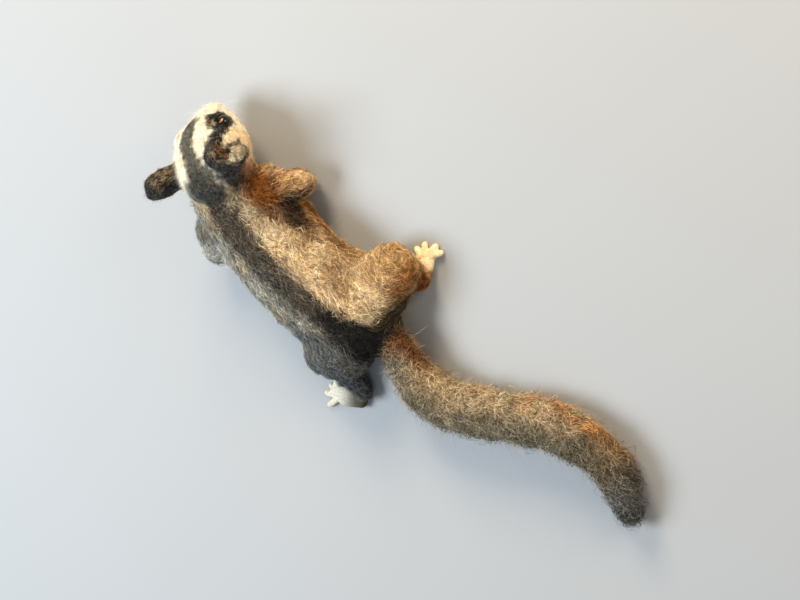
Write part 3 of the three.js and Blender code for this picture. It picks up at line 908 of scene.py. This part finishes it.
COATS = {
    "coat_head": Coat(("head",), "wool_cream", 15000, (1.3, 2.6), (0.12, 0.22), 0.18, 0.7, 2, 0.10),
    "coat_nose": Coat(("nose",), "wool_nose", 500, (0.7, 1.2), (0.08, 0.11), 0.08, 0.6, 2, 0),
    "coat_ears": Coat(both("ear"), "wool_ear", 6000, (1.2, 2.6), (0.14, 0.24), 0.24, 0.5, 3, 0.06),
    "coat_neck": body_coat(("neck",), "wool_back", 4200, stray=0.7),
    "coat_back_left": body_coat(("torso",), "wool_back", 9500),
    "coat_back_right": body_coat(("torso",), "wool_back", 9500),
    "coat_limbs_left": body_coat(one_side("left", *LIMBS), "wool_flank", 7000, lift=0.4, loose=0.04),
    "coat_limbs_right": body_coat(one_side("right", *LIMBS), "wool_flank", 9000, lift=0.4, loose=0.04),
    "coat_shanks": Coat(both("shank"), "wool_ochre", 2000, (2.0, 4.0), (0.11, 0.18), 0.3, 0.5, 3, 0.03),
    "coat_folds": Coat(both("membrane"), "wool_fold", 2200, (3.0, 5.5), (0.12, 0.22), 0.36, 0.5, 3, 0.05),
    "coat_paws": Coat(both("foot", "hand"), "wool_paw", 1500, (0.7, 1.4), (0.07, 0.11), 0.06, 0.5, 2, 0),
    "coat_tail_base": tail_coat("tail_base", 9000, 0.75, 0.18),
    "coat_tail_middle": tail_coat("tail_middle", 9800, 0.75, 0.16),
    "coat_tail_tip": tail_coat("tail_tip", 7800, 0.7, 0.14),
}
# The seed of the first coat's random draws. Each coat after it takes the next one.
FIRST_SEED = 101
# Where the back's coat parts into its left and right pieces
BACK_PARTING = -3
# The share of the wool that grows underneath, and between which slopes of the skin it fades to that
UNDERSIDE_SHARE = 0.35
UNDERSIDE = (-0.6, 0.1)
# How wide the locks are that share a tone
LOCK = 1.1
# How far the colours run into each other where they meet
MIXING = 1.8
# How the strands lie: how deep their roots are, how they sway together and curl alone, how low they
# creep, and how much shorter they are on the shoulder's ridge
ROOT_DEPTH = 0.12
SWAY = Noise(0.3, 9, 41)
CURL = 0.9
LEAST_RISE = 0.05
RIDGE_SHORTENING = 0.6
# How long and how wide loose strands are beside the others
LOOSE_LENGTH = 1.2
LOOSE_GIRTH = 0.5
# A strand's section: its sides, and its width along the skin and depth off it beside its girth
SIDES_ROUND = 3
FLAT_WIDTH = 1.3
FLAT_DEPTH = 0.8
TIP_GIRTH = 0.45
# How much of the unwrapped map each strand takes
PATCH = 0.003


def unwrap(mesh):
    """A light copy of the skin, unwrapped: its points, triangles and their corners' places in the map."""
    copy = add_object("unwrap", mesh.copy())
    lighter = copy.modifiers.new("lighter", "DECIMATE")
    lighter.ratio = 0.06
    light = modified(copy)
    copy.modifiers.clear()
    copy.data = light
    bpy.context.view_layer.objects.active = copy
    bpy.ops.object.mode_set(mode="EDIT")
    bpy.ops.mesh.select_all(action="SELECT")
    bpy.ops.uv.smart_project(angle_limit=math.radians(66), island_margin=0.004)
    bpy.ops.object.mode_set(mode="OBJECT")
    light.calc_loop_triangles()
    loops = read(light.loop_triangles, "loops", 3, int)
    corners = read(light.loop_triangles, "vertices", 3, int)
    places = read(light.uv_layers.active.data, "uv", 2)[loops]
    points = read(light.vertices, "co", 3)
    bpy.data.objects.remove(copy)
    return points, corners, places


class Ground:
    """The skin as ground for the strands: its nearest places and vertices, and its unwrapped map."""

    def __init__(self, skin):
        skin.mesh.calc_loop_triangles()
        self.triangles = read(skin.mesh.loop_triangles, "vertices", 3, int)
        self.corners = skin.points[self.triangles]
        self.tree = BVHTree.FromPolygons(skin.points.tolist(), self.triangles.tolist())
        self.map_points, self.map_corners, self.map_places = unwrap(skin.mesh)
        self.map_tree = BVHTree.FromPolygons(self.map_points.tolist(), self.map_corners.tolist())

    def drop(self, points):
        """The points moved onto the skin, and the skin's normals there."""
        places, normals, _ = nearest(self.tree, points)
        return places, normals

    def beneath(self, points):
        """The number of a vertex of the skin under each point."""
        return self.triangles[nearest(self.tree, points)[2], 0]

    def on_map(self, points):
        """Where the points lie on the unwrapped map."""
        hits, _, faces = nearest(self.map_tree, in_metres(points))
        a, b, c = np.moveaxis(self.map_points[self.map_corners[faces]], 1, 0)
        normals = np.cross(b - a, c - a)
        size = np.maximum((normals * normals).sum(axis=1), 1e-30)
        first = (np.cross(b - hits, c - hits) * normals).sum(axis=1) / size
        second = (np.cross(c - hits, a - hits) * normals).sum(axis=1) / size
        shares = np.column_stack([first, second, 1 - first - second])
        return np.einsum("nk,nkc->nc", shares, self.map_places[faces])


def plant(skin, ground, coat, chosen, rng):
    """Draws the strands' roots: their triangles, and the shares of the corners."""
    corners = ground.corners
    sides = corners[:, 1:] - corners[:, :1]
    area = lengths(np.cross(sides[:, 0], sides[:, 1])) / 2
    facing = skin.normals[ground.triangles[:, 0], 2]
    weight = area * chosen * (UNDERSIDE_SHARE + (1 - UNDERSIDE_SHARE) * step(facing, *UNDERSIDE))
    picks = rng.choice(len(weight), coat.count, p=weight / weight.sum())
    first, second = rng.random((2, coat.count))
    over = first + second > 1
    first[over], second[over] = 1 - first[over], 1 - second[over]
    return picks, np.column_stack([1 - first - second, first, second])


def at_roots(ground, picks, shares, values):
    """Values of the skin's vertices, at the roots."""
    return np.einsum("nk,nkc->nc", shares, values[ground.triangles[picks]])


def strand_spines(ground, coat, roots, normals, lie, loose, rng):
    """The strands' spines: most creep along the skin and dip back to it, and loose ones stand off it."""
    count = coat.count
    length = rng.uniform(*coat.length, count) * np.where(loose, LOOSE_LENGTH, 1)
    length *= 1 - RIDGE_SHORTENING * stroke(roots, SHOULDER_RIDGE, 2)
    bend = rng.normal(0, coat.stray, count) + noise(roots, SWAY)
    curl = rng.normal(0, CURL, count)
    aside = np.cross(normals, lie)
    heading = lie * np.cos(bend)[:, None] + aside * np.sin(bend)[:, None]
    rise = coat.lift * rng.gamma(2.0, 0.5, count)
    spines = [roots - normals * ROOT_DEPTH]
    frames = [normals]
    here = roots
    for ring in range(1, coat.rings + 1):
        share = ring / coat.rings
        here = here + heading * (length / coat.rings)[:, None]
        here, up = ground.drop(here)
        heading = along_surface(heading, up)
        aside = np.cross(up, heading)
        heading = unit(heading + aside * np.tan(curl / coat.rings)[:, None])
        creeping = rise * math.sin(math.pi * (0.25 + 0.6 * share)) + LEAST_RISE
        standing = (1.4 + 2.8 * rise) * share ** 1.4
        spines.append(here + up * np.where(loose, standing, creeping)[:, None])
        frames.append(up)
    return np.stack(spines, axis=1), np.stack(frames, axis=1)


def add_strands(name, spines, frames, girth, colours, places):
    """A piece of closed, tapered strands. Each strand's colour and map patch are its own."""
    count, stops, _ = spines.shape
    rings = stops - 1
    along = unit(np.gradient(spines, axis=1))
    across = unit(np.cross(frames, along))
    lift = np.cross(along, across)
    taper = np.linspace(1.0, TIP_GIRTH, rings)
    points = np.empty((count, rings * SIDES_ROUND + 1, 3))
    for ring in range(rings):
        for corner in range(SIDES_ROUND):
            angle = 2 * math.pi * corner / SIDES_ROUND + math.pi / 2
            wide = across[:, ring] * math.cos(angle) * FLAT_WIDTH
            deep = lift[:, ring] * math.sin(angle) * FLAT_DEPTH
            reach = (girth / 2 * taper[ring])[:, None]
            points[:, ring * SIDES_ROUND + corner] = spines[:, ring] + (wide + deep) * reach
    points[:, -1] = spines[:, -1]
    points[:, :, 2] = np.maximum(points[:, :, 2], FLOOR_CLEARANCE)
    pattern = strand_faces(rings)
    size = points.shape[1]
    faces = (pattern[None] + size * np.arange(count)[:, None, None]).reshape(-1, 3)
    mesh = mesh_from(name, points.reshape(-1, 3), faces)
    add_colour(mesh, np.repeat(colours, size, axis=0))
    step_along = np.repeat(np.arange(rings) / rings, SIDES_ROUND)
    step_round = np.tile(np.arange(SIDES_ROUND) / SIDES_ROUND, rings)
    patch = np.column_stack([np.append(step_along, 1.0), np.append(step_round, 0.5)]) - 0.5
    spots = places[:, None] + patch[None] * PATCH
    add_map(mesh, spots.reshape(-1, 2)[faces.ravel()])
    add_piece(name, mesh, FIBRE)


def strand_faces(rings):
    """The triangles of one strand: a base, its sides and the fan at its tip."""
    tip = rings * SIDES_ROUND
    faces = [(0, 2, 1)]
    for ring in range(rings):
        for corner in range(SIDES_ROUND):
            a = ring * SIDES_ROUND + corner
            b = ring * SIDES_ROUND + (corner + 1) % SIDES_ROUND
            if ring < rings - 1:
                faces += [(a, b, b + SIDES_ROUND), (a, b + SIDES_ROUND, a + SIDES_ROUND)]
            else:
                faces.append((a, b, tip))
    return np.array(faces)


def mesh_from(name, points, faces):
    """A mesh of triangles from points in the figure's own frame."""
    mesh = bpy.data.meshes.new(name)
    mesh.vertices.add(len(points))
    fill(mesh.vertices, "co", in_metres(points))
    mesh.loops.add(faces.size)
    fill(mesh.loops, "vertex_index", faces, int)
    mesh.polygons.add(len(faces))
    fill(mesh.polygons, "loop_start", np.arange(0, faces.size, 3), int)
    mesh.update(calc_edges=True)
    mesh.validate()
    return mesh


def add_colour(mesh, colours):
    layer = mesh.color_attributes.new(PAINT, "FLOAT_COLOR", "POINT")
    fill(layer.data, "color", np.column_stack([colours, np.ones(len(colours))]))


def add_map(mesh, places):
    fill(mesh.uv_layers.new(name="OFBake").data, "uv", places)


def fibre_colours(base, lively, locks, loose, rng):
    """Each strand's own colour: mostly the coat's, with paler and darker fibres among them."""
    count = len(base)
    tone = np.exp((rng.normal(0, 0.5, count) + 0.28 * locks) * (0.12 + lively))
    draw = rng.random(count) - 0.07 * locks
    strength = rng.uniform(0.3, 1, count) * lively
    brightness = base.mean(axis=1, keepdims=True)
    # A washed-out colour for the paler ones, and more of these where the coat is dark
    paler = (0.72 * base + 0.28 * brightness) / np.maximum(brightness, 1e-4) * brightness ** 0.55
    pale_share = 0.3 + 0.15 * step(brightness[:, 0], 0.1, 0.03)
    colours = layered(base * tone[:, None], [
        (paler, np.clip((draw < pale_share) * strength * 1.4, 0, 1)),
        (base * 0.2, np.clip((draw > 0.82) * strength * 1.1, 0, 0.9)),
        (paler, loose * 0.7),
    ])
    return np.clip(colours, 0.002, 0.97)


def grow_coat(skin, ground, name, coat, seed):
    """Grows one coat's strands from the skin, as a piece of its own."""
    rng = np.random.default_rng(seed)
    owners = skin.nodes[ground.triangles[:, 0]]
    chosen = np.isin(owners, coat.nodes)
    if coat.nodes == ("torso",):
        chosen &= (ground.corners[:, 0, 0] > BACK_PARTING) == name.endswith("left")
    picks, shares = plant(skin, ground, coat, chosen, rng)
    roots = at_roots(ground, picks, shares, skin.points)
    normals = unit(at_roots(ground, picks, shares, skin.normals))
    lie = unit(at_roots(ground, picks, shares, skin.lie))
    loose = rng.random(coat.count) < coat.loose
    spines, frames = strand_spines(ground, coat, roots, normals, lie, loose, rng)
    middles = spines[:, 1:-1].mean(axis=1)
    mixed = at_roots(ground, picks, shares, skin.lively[:, None]) * coat.stray * MIXING
    below = ground.beneath(middles + rng.normal(size=middles.shape) * mixed)
    locks = waves(middles, LOCK, seed)
    colours = fibre_colours(skin.colour[below], skin.lively[below], locks, loose, rng)
    girth = rng.uniform(*coat.girth, coat.count) * np.where(loose, LOOSE_GIRTH, 1)
    add_strands(name, spines, frames, girth, colours, ground.on_map(roots))


# Long single hairs, as (root, end) places in the figure's frame, and the whiskers, in the head's
HAIRS = [
    ((-28.4, -2.6, 24.3), (-16.6, -2.3, 28.8)), ((-10.7, 16.1, 11.9), (-21.1, 19.4, 9.7)),
    ((2.8, -1.6, 25.8), (9.6, 6.1, 22.8)), ((-19.5, -41, 4.5), (-27.6, -37.8, 3.9)),
    ((-10.9, 13.7, 9.1), (-16, 13, 16.5)), ((-11, 11.1, 12.9), (-15.1, 7.2, 16.4)),
    ((-9.5, 10.5, 15.5), (-12.4, 3.5, 20)), ((7, 13, 14), (13.5, 18, 14)),
    ((6.5, 17, 13), (13, 23, 11)), ((-10, 21, 9.5), (-16, 24, 14)),
]
WHISKERS = [
    ((3.4, -21, -0.6), (14, -25.6, -1.2)), ((3.8, -20.6, -1.4), (15.2, -23.4, -3.4)),
    ((4.2, -20, -2.2), (13.4, -21.6, -6)), ((3.4, -20, 0.4), (13, -22.8, 2.6)),
    ((4.6, -19.4, -0.8), (12.6, -17.6, -2.6)), ((-4.4, -20, -2.4), (-13, -22, -7)),
    ((-4, -20.6, -1.6), (-14.6, -21.6, -5.4)), ((-4.6, -19.4, -3), (-12, -17.6, -8.6)),
]
HAIR_GIRTH = 0.07
HAIR_RINGS = 6
HAIR_COLOUR = wool(232, 226, 206)
# How high a hair arches for its length
HAIR_ARCH = 0.45


def add_hairs(ground, name, hairs):
    """Fine pale hairs that arch from their roots on the skin to their ends in the air."""
    roots, ends = np.moveaxis(np.array(hairs, float), 1, 0)
    starts, normals = ground.drop(roots)
    starts = starts - normals * ROOT_DEPTH
    share = np.linspace(0, 1, HAIR_RINGS + 1)[None, :, None]
    reach = lengths(ends - starts)[:, None, None]
    arch = normals[:, None] * reach * HAIR_ARCH * share * (1 - share)
    spines = starts[:, None] * (1 - share) + ends[:, None] * share + arch
    frames = np.broadcast_to(normals[:, None], spines.shape)
    girth = np.full(len(hairs), HAIR_GIRTH)
    colours = np.tile(HAIR_COLOUR, (len(hairs), 1))
    add_strands(name, spines, frames, girth, colours, ground.on_map(starts))


# Materials


def set_inputs(node, **values):
    """Sets a node's inputs by name, with underscores for the spaces."""
    for name, value in values.items():
        node.inputs[name.replace("_", " ")].default_value = value


def new_material(name):
    """A material, and its shader."""
    material = bpy.data.materials.new(name)
    material.use_nodes = True
    return material, material.node_tree.nodes["Principled BSDF"]


def painted_colour(material):
    """The colour that is painted on the mesh, as an output of a node."""
    painted = material.node_tree.nodes.new("ShaderNodeAttribute")
    painted.attribute_name = PAINT
    return painted.outputs["Color"]


def wool_material(name, grain, bump=0.0):
    """Felted wool: the painted colour broken up by fine grain, matt, with a soft sheen."""
    material, shader = new_material(name)
    nodes = material.node_tree.nodes
    links = material.node_tree.links
    set_inputs(shader, Roughness=0.95, Specular_IOR_Level=0.08, Sheen_Weight=0.03, Sheen_Roughness=0.55)
    place = nodes.new("ShaderNodeTexCoord")
    fuzz = nodes.new("ShaderNodeTexNoise")
    set_inputs(fuzz, Scale=grain, Detail=4.0, Roughness=0.65)
    links.new(place.outputs["Object"], fuzz.inputs["Vector"])
    ramp = nodes.new("ShaderNodeMapRange")
    set_inputs(ramp, From_Min=0.3, From_Max=0.7, To_Min=0.62, To_Max=1.25)
    links.new(fuzz.outputs["Fac"], ramp.inputs["Value"])
    grainy = nodes.new("ShaderNodeVectorMath")
    grainy.operation = "SCALE"
    links.new(painted_colour(material), grainy.inputs[0])
    links.new(ramp.outputs["Result"], grainy.inputs["Scale"])
    links.new(grainy.outputs["Vector"], shader.inputs["Base Color"])
    if bump:
        relief = nodes.new("ShaderNodeBump")
        set_inputs(relief, Strength=0.6, Distance=bump * MM)
        links.new(fuzz.outputs["Fac"], relief.inputs["Height"])
        links.new(relief.outputs["Normal"], shader.inputs["Normal"])
    return material


FELT = wool_material("felt", 1500.0, bump=0.35)
FIBRE = wool_material("fibre", 700.0)


def bead_material():
    """A glossy, nearly black bead with a painted amber glint."""
    material, shader = new_material("bead")
    set_inputs(shader, Roughness=0.18, Specular_IOR_Level=0.3, Coat_Weight=0.25, Coat_Roughness=0.04)
    material.node_tree.links.new(painted_colour(material), shader.inputs["Base Color"])
    return material


BEAD = bead_material()

# Pieces

# How much darker the skin is where its fibres stray most
SKIN_SHADE = 0.45


def add_piece(name, mesh, material):
    piece = add_object(name, mesh)
    mesh.materials.append(material)
    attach(piece, "root")
    return piece


def smooth(mesh):
    mesh.polygons.foreach_set("use_smooth", [True] * len(mesh.polygons))


def add_skin():
    skin = Skin()
    add_colour(skin.mesh, skin.colour * (1 - SKIN_SHADE * skin.lively)[:, None])
    smooth(skin.mesh)
    piece = add_piece("skin", skin.mesh, FELT)
    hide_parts(*FLESH_NODES)
    return skin


# The beads of the eyes: which way their painted amber glint lies from the middle, with x outwards, and its
# edge
BEAD_DARK = wool(10, 8, 7)
BEAD_GLINT = wool(190, 116, 30)
EYE_GLINT_SIDE = (0.45, 0.05, 0.9)
GLINT_EDGE = (0.974, 0.995)


def add_eye(node):
    """A bead, rounder than the CAD's, with its painted amber glint on the side that faces up and outwards.
    """
    low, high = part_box(node)
    centre = middle_of(node)
    shape = bmesh.new()
    bmesh.ops.create_uvsphere(shape, u_segments=64, v_segments=48, radius=(high[2] - low[2]) / 2)
    bmesh.ops.translate(shape, verts=shape.verts, vec=(Vector(low) + Vector(high)) / 2)
    mesh = bpy.data.meshes.new(f"bead_{node}")
    shape.to_mesh(mesh)
    shape.free()
    smooth(mesh)
    points = in_millimetres(read(mesh.vertices, "co", 3))
    side = 1 if node.endswith("left") else -1
    glow = turned(unit(np.array(EYE_GLINT_SIDE) * (side, 1, 1)))
    facing = unit(points - centre) @ glow
    # A painted glint: amber where the bead faces that way
    add_colour(mesh, blend(BEAD_DARK, BEAD_GLINT, step(facing, *GLINT_EDGE)))
    bead = add_piece(f"bead_{node}", mesh, BEAD)
    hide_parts(node)


# Studio, in metres

FLOOR_REACH = 3.0
LIGHTS_AIM = (-0.01, -0.01, 0.02)
# Each light's place, width, power and colour
LIGHTS = {
    "daylight": ((0.35, -0.45, 0.75), 0.5, 13.0, (0.86, 0.94, 1.0)),
    "lamp": ((-0.55, -0.5, 0.42), 0.3, 8.5, (1.0, 0.80, 0.55)),
    "glow": ((-0.7, 0.25, 0.3), 0.3, 3.0, (1.0, 0.78, 0.52)),
    "fill": ((0.1, 0.7, 0.6), 0.7, 1.4, (0.95, 0.97, 1.0)),
}


def add_floor():
    mesh = bpy.data.meshes.new("floor")
    corners = [(x * FLOOR_REACH, y * FLOOR_REACH, 0) for x, y in ((-1, -1), (1, -1), (1, 1), (-1, 1))]
    mesh.from_pydata(corners, [], [(0, 1, 2, 3)])
    floor = add_object("floor", mesh)
    material, shader = new_material("floor")
    set_inputs(shader, Base_Color=(0.32, 0.335, 0.35, 1), Roughness=0.9)
    mesh.materials.append(material)


def add_light(name, place, width, power, colour):
    lamp = bpy.data.lights.new(name, "AREA")
    lamp.size = width
    lamp.energy = power
    lamp.color = colour
    light = add_object(name, lamp)
    light.location = place
    light.rotation_euler = (Vector(LIGHTS_AIM) - Vector(place)).to_track_quat("-Z", "Y").to_euler()


def add_studio():
    add_floor()
    for name, settings in LIGHTS.items():
        add_light(name, *settings)
    world = bpy.data.worlds.new("studio")
    world.use_nodes = True
    set_inputs(world.node_tree.nodes["Background"], Color=(0.9, 0.94, 1.0, 1), Strength=0.32)
    bpy.context.scene.world = world
    bpy.context.scene.view_settings.view_transform = "Standard"


skin = add_skin()
ground = Ground(skin)
for seed, (name, coat) in enumerate(COATS.items(), start=FIRST_SEED):
    grow_coat(skin, ground, name, coat, seed)
add_hairs(ground, "hairs", HAIRS)
add_hairs(ground, "whiskers", [(from_head(root), from_head(end)) for root, end in WHISKERS])
for eye in both("eye"):
    add_eye(eye)
add_studio()
